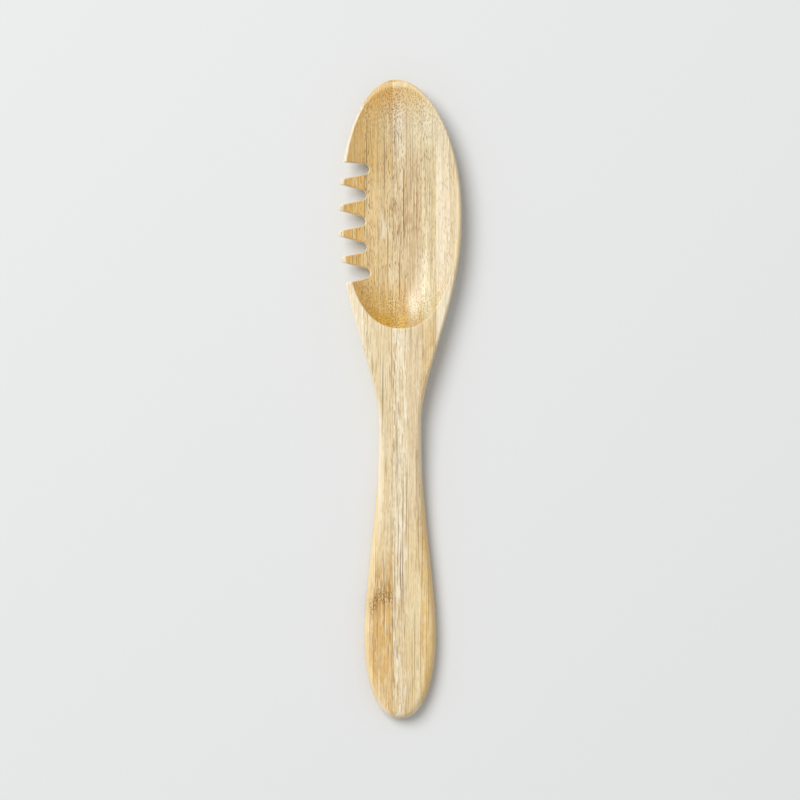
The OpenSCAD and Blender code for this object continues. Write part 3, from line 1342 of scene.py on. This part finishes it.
@dataclass
class Strip:
    """One piece of a bamboo strip, which stands for the solid of the same name."""

    node: str
    finish: BambooFinish
    cut: Cut
    shape: SpoonShape
    column: float = 0.34 * MM
    bowl_row: float = 0.5 * MM
    heel_row: float = 0.26 * MM
    handle_row: float = 1.3 * MM
    heel_zone: float = 26 * MM
    sharp_angle: float = math.radians(55)
    layers: tuple[str, str] = ("arris", "hollow")

    def _row_step(self, y: Array) -> Array:
        """Widest step between the rows of the mesh, finest about the heel of the hollow.

        Args:
            y: Places along the spoon.

        Returns:
            Steps at those places.
        """
        heel = self.shape.heel_y
        ledge = heel - self.shape.shoulder_ledge
        step = np.where(y < ledge, self.handle_row, self.bowl_row)
        return np.where((y > ledge) & (y < heel + self.heel_zone), self.heel_row, step)

    def _grid(self, bm: bmesh.types.BMesh) -> None:
        """Fills a mesh with a flat grid of the piece's plan.

        Args:
            bm: Mesh to fill.
        """
        low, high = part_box(self.node)
        rows = spacing(high.y - low.y, lambda at: self._row_step(low.y + at))
        columns = spacing(high.x - low.x, lambda at: np.full_like(at, self.column))
        across_n = len(columns) - 1
        along_n = len(rows) - 1
        half = 0.5
        bmesh.ops.create_grid(bm, x_segments=across_n, y_segments=along_n, size=half)
        across = np.array([round((v.co.x + half) * across_n) for v in bm.verts])
        along = np.array([round((v.co.y + half) * along_n) for v in bm.verts])
        x, y = self.cut.place(columns[across], rows[along], low.x, high.x)
        for vert, place_x, place_y in zip(bm.verts, x, y):
            vert.co = (place_x, place_y, 0)

    def _raise(self, bm: bmesh.types.BMesh, points: list[bmesh.types.BMVert], face: int) -> None:
        """Lifts points to one of the spoon's faces and notes how they lie to its edges and its hollow.

        Args:
            bm: Mesh that the points belong to, with its layers.
            points: Points to lift.
            face: 0 for the underside and 1 for the upper face.
        """
        edge, carved_and_shaded = (bm.verts.layers.float[name] for name in self.layers)
        x = np.array([v.co.x for v in points])
        y = np.array([v.co.y for v in points])
        heights = self.shape.faces(x, y)[face]
        near = self.shape.arris(x, y)
        inside = self.shape.hollow_share(x, y) * face
        for vert, height, wear, share in zip(points, heights, near, inside):
            vert.co.z = height
            vert[edge] = wear
            vert[carved_and_shaded] = share

    def build(self) -> bpy.types.Object:
        """Models the piece.

        Returns:
            The new object, which replaces its solid and rides on the spoon's body.
        """
        bm = bmesh.new()
        self._grid(bm)
        for name in self.layers:
            bm.verts.layers.float.new(name)
        lower = list(bm.verts)
        lifted = bmesh.ops.extrude_face_region(bm, geom=bm.faces[:])["geom"]
        self._raise(bm, [g for g in lifted if isinstance(g, bmesh.types.BMVert)], 1)
        self._raise(bm, lower, 0)
        bmesh.ops.recalc_face_normals(bm, faces=bm.faces[:])
        mesh = bpy.data.meshes.new(f"{self.node}_bamboo")
        bm.to_mesh(mesh)
        bm.free()
        mesh.shade_smooth()
        mesh.set_sharp_from_angle(angle=self.sharp_angle)
        piece = bpy.data.objects.new(mesh.name, mesh)
        bpy.context.scene.collection.objects.link(piece)
        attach(piece, BODY)
        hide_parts(self.node)
        return piece

    def dress(self, piece: bpy.types.Object, material: bpy.types.Material) -> None:
        """Gives the piece its finish."""
        piece.data.materials.append(material)


def level(value: float) -> Curve:
    """Bound that stays at one value."""
    return lambda at: np.full_like(at, value)


@dataclass
class Lamination:
    """What the sub-assemblies share: the spoon's shape, its glue lines and its grain."""

    shape: SpoonShape
    groups: GrainGroups
    strip_width: float
    made: dict[str, bpy.types.Material] = field(default_factory=dict)

    def left_bound(self, line: float) -> Curve:
        """Bound at a glue line on the left, or at the outline where that comes first."""
        return lambda y: np.maximum(line, self.shape.left_edge(y))

    def right_bound(self, line: float) -> Curve:
        """Bound at a glue line on the right, or at the outline where that comes first."""
        return lambda y: np.minimum(line, self.shape.right_edge(y))

    def flanks(self, left: float, right: float) -> tuple[Curve, Curve]:
        """Bounds of a strip that meets the outline at its ends and between the two widest lines.

        Args:
            left: Left glue line.
            right: Right glue line.

        Returns:
            Left and right bounds.
        """
        shape = self.shape

        def between(y: Array) -> Array:
            """Says which places lie between the widest lines of the handle and the bowl."""
            return (y > shape.grip_y) & (y < shape.wide_y)

        return (
            lambda y: np.where(between(y), self.left_bound(left)(y), left),
            lambda y: np.where(between(y), self.right_bound(right)(y), right),
        )

    def finish_strip(self, strip: Strip, left: float) -> bpy.types.Object:
        """Builds and dresses one piece of a strip.

        Args:
            strip: Piece to make.
            left: Left glue line of the strip that it is cut from.

        Returns:
            The finished object.
        """
        finish = strip.finish
        if finish.name not in self.made:
            self.made[finish.name] = finish.material(self.groups, left, self.strip_width)
        piece = strip.build()
        strip.dress(piece, self.made[finish.name])
        LOG.info("%s: %d faces, %s", piece.name, len(piece.data.polygons), finish.name)
        return piece


@dataclass
class ToothedSide:
    """Rim and wall strips on the left of the bowl, sawn into teeth."""

    lamination: Lamination
    rim: BambooFinish
    wall: BambooFinish
    tooth_tip: BambooFinish
    tooth_root: BambooFinish
    tooth_column: float = 0.24 * MM
    tooth_row: float = 0.22 * MM

    def _strip(self, node: str, finish: BambooFinish, cut: Cut) -> bpy.types.Object:
        """Builds and dresses one of the side's pieces.

        Args:
            node: Name of its solid.
            finish: Its finish.
            cut: Its plan.

        Returns:
            The finished object.
        """
        lam, row = self.lamination, self.tooth_row
        strip = Strip(
            node, finish, cut, lam.shape,
            column=self.tooth_column, bowl_row=row, heel_row=row, handle_row=row,
        )
        wall_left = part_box("left_wall_strip_upper")[0].x
        outer = finish in (self.rim, self.tooth_tip)
        return lam.finish_strip(strip, wall_left - lam.strip_width if outer else wall_left)

    def build(self) -> list[bpy.types.Object]:
        """Builds the pieces above, between and below the gaps.

        Returns:
            The side's objects.
        """
        lam, shape, gaps = self.lamination, self.lamination.shape, self.lamination.shape.gaps
        wall_low, wall_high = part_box("left_wall_strip_upper")
        outline = lam.left_bound(-shape.head_width)
        wall_left = lam.flanks(wall_low.x, wall_high.x)[0]
        above_gaps = gaps[0].upper_side
        below_gaps = gaps[-1].lower_side
        rim_top = level(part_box("left_rim_strip_upper")[1].y)
        rim_foot = level(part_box("left_rim_strip_lower")[0].y)
        wall_foot = level(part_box("left_wall_strip_lower")[0].y)
        to_wall, to_floor = level(wall_low.x), level(wall_high.x)
        rim_upper = Cut(above_gaps, rim_top, outline, to_wall)
        wall_upper = Cut(above_gaps, shape.tip_edge, wall_left, to_floor)
        rim_lower = Cut(rim_foot, below_gaps, outline, to_wall)
        wall_lower = Cut(wall_foot, below_gaps, wall_left, to_floor)
        pieces = [
            self._strip("left_rim_strip_upper", self.rim, rim_upper),
            self._strip("left_wall_strip_upper", self.wall, wall_upper),
        ]
        for number, (above, below) in enumerate(zip(gaps, gaps[1:]), start=1):
            tip = Cut(below.upper_side, above.lower_side, outline, to_wall)
            root = Cut(below.upper_side, above.lower_side, to_wall, to_floor)
            pieces.append(self._strip(f"tooth_{number}_tip", self.tooth_tip, tip))
            pieces.append(self._strip(f"tooth_{number}_root", self.tooth_root, root))
        pieces.append(self._strip("left_rim_strip_lower", self.rim, rim_lower))
        pieces.append(self._strip("left_wall_strip_lower", self.wall, wall_lower))
        return pieces


@dataclass
class BowlFloor:
    """Strips of the bowl's floor that stop at the neck, the left one bitten by the gaps."""

    lamination: Lamination
    left_finish: BambooFinish
    right_finish: BambooFinish
    column: float = 0.26 * MM
    bowl_row: float = 0.2 * MM

    def build(self) -> list[bpy.types.Object]:
        """Builds the two strips.

        Returns:
            The floor's objects.
        """
        lam, shape = self.lamination, self.lamination.shape
        finishes = {"left_floor_strip": self.left_finish, "right_floor_strip": self.right_finish}
        pieces = []
        for node, finish in finishes.items():
            low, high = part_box(node)
            left_line = high.x - lam.strip_width if node == "left_floor_strip" else low.x
            left, right = lam.flanks(left_line, left_line + lam.strip_width)
            cut = Cut(level(low.y), shape.tip_edge, self._bitten(left), right, passes=1)
            strip = Strip(node, finish, cut, shape, column=self.column, bowl_row=self.bowl_row)
            pieces.append(lam.finish_strip(strip, left_line))
        return pieces

    def _bitten(self, left: Curve) -> Curve:
        """Left bound of a strip with the roots of the gaps cut out of it."""
        gaps = self.lamination.shape.gaps
        return lambda y: np.maximum.reduce([left(y), *(gap.bite(y) for gap in gaps)])


@dataclass
class Spine:
    """Three strips that run the whole length of the spoon."""

    lamination: Lamination
    finishes: dict[str, BambooFinish]

    def build(self) -> list[bpy.types.Object]:
        """Builds the three strips.

        Returns:
            The spine's objects.
        """
        lam, shape = self.lamination, self.lamination.shape
        pieces = []
        for node, finish in self.finishes.items():
            low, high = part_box(node)
            left, right = lam.flanks(low.x, high.x)
            cut = Cut(shape.end_edge, shape.tip_edge, left, right)
            pieces.append(lam.finish_strip(Strip(node, finish, cut, shape), low.x))
        return pieces


@dataclass
class PlainSide:
    """Wall and rim strips on the right of the bowl."""

    lamination: Lamination
    wall: BambooFinish
    rim: BambooFinish
    rim_column: float = 0.2 * MM

    def build(self) -> list[bpy.types.Object]:
        """Builds the two strips.

        Returns:
            The side's objects.
        """
        lam, shape = self.lamination, self.lamination.shape
        wall_low, wall_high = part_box("right_wall_strip")
        rim_low, rim_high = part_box("right_rim_strip")
        left, right = lam.flanks(wall_low.x, wall_high.x)
        outline = lam.right_bound(shape.head_width)
        wall_cut = Cut(level(wall_low.y), shape.tip_edge, left, right)
        rim_cut = Cut(level(rim_low.y), level(rim_high.y), level(rim_low.x), outline)
        wall = Strip("right_wall_strip", self.wall, wall_cut, shape)
        rim = Strip("right_rim_strip", self.rim, rim_cut, shape, column=self.rim_column)
        return [lam.finish_strip(wall, wall_low.x), lam.finish_strip(rim, rim_low.x)]


@dataclass
class Grip:
    """Outer strips of the handle."""

    lamination: Lamination
    left_finish: BambooFinish
    right_finish: BambooFinish
    row: float = 0.8 * MM

    def build(self) -> list[bpy.types.Object]:
        """Builds the two strips.

        Returns:
            The grip's objects.
        """
        lam, shape = self.lamination, self.lamination.shape
        left_low, left_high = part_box("left_grip_strip")
        right_low, right_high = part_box("right_grip_strip")
        outer = shape.handle_width
        left_cut = Cut(level(left_low.y), level(left_high.y), lam.left_bound(-outer), level(left_high.x))
        right_cut = Cut(level(right_low.y), level(right_high.y), level(right_low.x), lam.right_bound(outer))
        left = Strip("left_grip_strip", self.left_finish, left_cut, shape, handle_row=self.row)
        right = Strip("right_grip_strip", self.right_finish, right_cut, shape, handle_row=self.row)
        return [
            lam.finish_strip(left, left_high.x - lam.strip_width),
            lam.finish_strip(right, right_low.x),
        ]


@dataclass
class Studio:
    """Pale floor, soft light from the upper left and a camera that looks straight down."""

    floor_size: float = 16.0
    floor_tone: str = "#dfe0e0"
    floor_roughness: float = 0.95
    floor_shine: float = 0.0
    view_width: float = 0.3758
    camera_height: float = 1.5
    nearest_view: float = 0.01
    view_level: float = 7.5 * MM
    view_shift_y: float = -0.1 * MM
    sensor: float = 36.0
    key_from: Triple = (-0.44, 0.42, 0.86)
    key_distance: float = 4.0
    key_size: float = 2.6
    key_level: float = 0.64
    fill_level: float = 0.5

    def floor(self) -> None:
        """Lays the floor that the spoon rests on."""
        bm = bmesh.new()
        bmesh.ops.create_grid(bm, x_segments=1, y_segments=1, size=self.floor_size / 2)
        mesh = bpy.data.meshes.new("floor")
        bm.to_mesh(mesh)
        bm.free()
        material = bpy.data.materials.new("floor_paper")
        material.use_nodes = True
        shader = material.node_tree.nodes["Principled BSDF"]
        shader.inputs["Base Color"].default_value = linear(self.floor_tone)
        shader.inputs["Roughness"].default_value = self.floor_roughness
        shader.inputs["Specular IOR Level"].default_value = self.floor_shine
        mesh.materials.append(material)
        floor = bpy.data.objects.new("floor", mesh)
        bpy.context.scene.collection.objects.link(floor)

    def lights(self) -> None:
        """Hangs the soft lamp and sets the even light of the room."""
        toward = Vector(self.key_from).normalized()
        lamp = bpy.data.lights.new("key", "AREA")
        lamp.shape = "DISK"
        lamp.size = self.key_size
        lamp.energy = self.key_level * (math.pi * self.key_distance) ** 2 / toward.z
        key = bpy.data.objects.new("key", lamp)
        key.location = toward * self.key_distance
        key.rotation_mode = "QUATERNION"
        key.rotation_quaternion = toward.to_track_quat("Z", "Y")
        bpy.context.scene.collection.objects.link(key)
        world = bpy.data.worlds.new("room")
        world.use_nodes = True
        background = world.node_tree.nodes["Background"]
        background.inputs["Color"].default_value = WHITE
        background.inputs["Strength"].default_value = self.fill_level
        bpy.context.scene.world = world

    def camera(self) -> None:
        """Hangs the camera over the middle of the view."""
        data = bpy.data.cameras.new("camera")
        data.sensor_width = self.sensor
        data.lens = self.sensor * self.camera_height / self.view_width
        data.clip_start = self.nearest_view
        camera = bpy.data.objects.new("camera", data)
        camera.location = (0, self.view_shift_y, self.view_level + self.camera_height)
        bpy.context.scene.collection.objects.link(camera)
        bpy.context.scene.camera = camera

    def build(self) -> None:
        """Sets up the floor, the light and the camera."""
        bpy.context.scene.view_settings.view_transform = "Standard"
        self.floor()
        self.lights()
        self.camera()


# Edge tones below are painted light: pale ones on left edges are highlights, warm ones on the right shade
RIM_HONEY = BambooFinish(
    "rim_honey", Slot.HONEY, "#f5e9ce", "#ebd9b2", 1.0, Skin.LEFT,
    carved_and_shaded="#eace92", dashes=0.45, sheen=0.12, edge="#fdf2e0", edge_polish_and_light=0.75,
)
WALL_TAN = BambooFinish(
    "wall_tan", Slot.TAN, "#f5e8cc", "#ebd8b2", 2.0, Skin.RIGHT,
    carved_and_shaded="#ead09d", dashes=0.45, sheen=0.12, right_film=0.1, edge="#fdf2e0", edge_polish_and_light=0.75,
)
TOOTH_HONEY = BambooFinish(
    "tooth_honey", Slot.HONEY, "#f2e2c0", "#e9d3a8", 1.0, Skin.LEFT,
    carved_and_shaded="#f9dea5", dashes=0.75, sheen=0.5, edge="#f9ecd6", edge_polish_and_light=0.7,
)
TOOTH_TAN = BambooFinish(
    "tooth_tan", Slot.TAN, "#f2e2c0", "#e9d3a8", 2.0, Skin.RIGHT,
    carved_and_shaded="#f9dea5", dashes=0.75, sheen=0.5, edge="#f9e6c4", edge_polish_and_light=0.7,
)
FLOOR_HONEY = BambooFinish(
    "floor_honey", Slot.HONEY, "#eddcb6", "#e0ca9c", 3.0, Skin.LEFT,
    carved_and_shaded="#fff1d7", dashes=0.9, sheen=0.3, left_film=0.1, right_film=0.6, edge_polish_and_light=0.8,
    cut_end_and_highlight="#dfc566", upper_tone=0.33, tip_tone="#fbe4b6",
)
CORE_TAN = BambooFinish(
    "core_tan", Slot.TAN, "#ead7af", "#ddc597", 4.0, Skin.RIGHT, "#deba79", "#cfa45e",
    carved_and_shaded="#f9f3e6", dashes=0.85, left_film=0.5, right_film=0.4,
    edge="#fbf0d4", edge_polish_and_light=0.75, edge_falloff=1.0,
    cut_end_and_highlight="#e9cc6c", upper_tone=0.36, tip_painted_light=0.12, tip_tone="#fde4b2",
    head=Stretch(-100 * MM, -45 * MM),
    knuckles=(Knuckle(-92 * MM, 11 * MM, 0.68, 0.6),),
    pale_and_highlight_patches=(Patch(80 * MM, 8 * MM, 0.4),),
)
CENTRE_PALE = BambooFinish(
    "centre_pale", Slot.PALE, "#f2e3c2", "#d9c194", 5.0, Skin.LEFT, "#e5d1aa", "#d6bb89",
    carved_and_shaded="#f0e6d6", dashes=1.0, wander=2 * MM, figure=0.55,
    cut_end_and_highlight="#f9e39e", tip_painted_light=0.38,
    knuckles=(Knuckle(80 * MM, 12 * MM, 0.5, 0.0),),
    pale_and_highlight_patches=(Patch(122 * MM, 18 * MM, 0.45), Patch(-70 * MM, 28 * MM, 0.58)),
)
# Its pale area at 44 mm is a painted highlight on the heel
CORE_CREAM = BambooFinish(
    "core_cream", Slot.CREAM, "#e4d0ab", "#d5bb91", 6.0, Skin.RIGHT, "#e6cfa1", "#d7b983",
    carved_and_shaded="#f1ece2", dots=0.65, dashes=0.7,
    cut_end_and_highlight="#fff8e0", tip_painted_light=0.48, light="#f8edca",
    knuckles=(Knuckle(-58 * MM, 5 * MM, 0.3, 0.0), Knuckle(84 * MM, 10 * MM, 0.4, 0.0)),
    pale_and_highlight_patches=(Patch(44 * MM, 10 * MM, 0.5), Patch(120 * MM, 14 * MM, 0.2)),
)
# Its pale areas at 46 mm and 82 mm are painted highlights, on the heel and the right wall of the hollow
FLOOR_CREAM = BambooFinish(
    "floor_cream", Slot.CREAM, "#e2c793", "#d2b27c", 7.0, Skin.LEFT,
    carved_and_shaded="#f5fdff", dots=0.6, cut_end_and_highlight="#fffff8", tip_painted_light=0.5,
    pale_and_highlight_patches=(Patch(46 * MM, 14 * MM, 0.4), Patch(82 * MM, 34 * MM, 0.25)),
)
# Near-white hollow tone and pale ground: the right wall faces the lamp, so no painted shade, and partly
# painted highlight
WALL_PALE = BambooFinish(
    "wall_pale", Slot.PALE, "#eee0c3", "#e2d0ac", 8.0, Skin.RIGHT,
    carved_and_shaded="#fefefe", dashes=0.55, cut_end_and_highlight="#fff4dc", edge="#e6c48a",
)
RIM_PALE = BambooFinish(
    "rim_pale", Slot.PALE, "#e8d6b0", "#dbc599", 9.0, Skin.LEFT,
    carved_and_shaded="#fcfcfc", dashes=0.45, cut_end_and_highlight="#fff4dc", edge="#e6c080", edge_polish_and_light=0.7,
)
GRIP_HONEY = BambooFinish(
    "grip_honey", Slot.HONEY, "#e3c690", "#d6b074", 10.0, Skin.RIGHT, "#ddb776", "#cea15b",
    dashes=0.9, edge="#f9e4b2", edge_polish_and_light=0.7, edge_falloff=1.0,
    head=Stretch(-100 * MM, -80 * MM),
    knuckles=(Knuckle(-96 * MM, 11 * MM, 0.7),),
)
GRIP_CREAM = BambooFinish(
    "grip_cream", Slot.CREAM, "#e9cc8b", "#dab370", 11.0, Skin.LEFT,
    dashes=0.55, edge="#dbb06c", edge_polish_and_light=0.6,
)


def main() -> None:
    """Builds the studio and the spoon, one sub-assembly after another."""
    logging.basicConfig(level=logging.INFO, format="%(name)s: %(message)s")
    Studio().build()
    centre_low, centre_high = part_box("centre_strip")
    lamination = Lamination(SpoonShape(), GrainGroups(), centre_high.x - centre_low.x)
    spine = {"left_core_strip": CORE_TAN, "centre_strip": CENTRE_PALE, "right_core_strip": CORE_CREAM}
    assemblies = (
        ToothedSide(lamination, RIM_HONEY, WALL_TAN, TOOTH_HONEY, TOOTH_TAN),
        BowlFloor(lamination, FLOOR_HONEY, FLOOR_CREAM),
        Spine(lamination, spine),
        PlainSide(lamination, WALL_PALE, RIM_PALE),
        Grip(lamination, GRIP_HONEY, GRIP_CREAM),
    )
    total = sum(len(assembly.build()) for assembly in assemblies)
    LOG.info("%d pieces", total)


if __name__ == "__main__":
    main()
